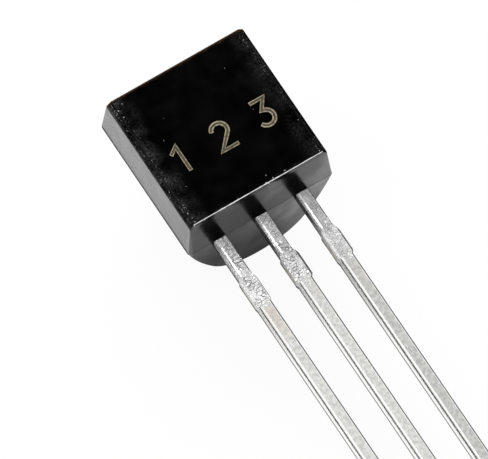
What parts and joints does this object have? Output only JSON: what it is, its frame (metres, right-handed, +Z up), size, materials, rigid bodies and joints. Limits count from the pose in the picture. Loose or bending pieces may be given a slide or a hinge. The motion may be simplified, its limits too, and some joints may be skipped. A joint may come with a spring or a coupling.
{
  "type": "to-92 transistor",
  "caption": "Small-signal transistor: a black moulded body with a flat face and a rounded back, and straight tinned leads in a row, lying on its back.",
  "frame": {"origin": "middle of the whole device's footprint as it lies, at the level of the surface it rests on", "axes": "+X across the leads from collector to emitter, +Y from the lead tips towards the body's far end, +Z up; the flat face looks up and is tipped 8.9 degrees towards the lead tips"},
  "size_m": [0.0044, 0.0188, 0.0047],
  "materials": {
    "black_epoxy": "gloss",
    "tinned_copper": "satin",
    "soft_solder": "satin",
    "silicon": "gloss",
    "gold_wire": "polished"
  },
  "bodies": {
    "root": {"moulded_body": "black_epoxy", "collector_lead": "tinned_copper", "base_lead": "tinned_copper", "emitter_lead": "tinned_copper", "die_attach": "soft_solder", "silicon_die": "silicon", "base_wire": "gold_wire", "emitter_wire": "gold_wire"}
  },
  "joints": []
}
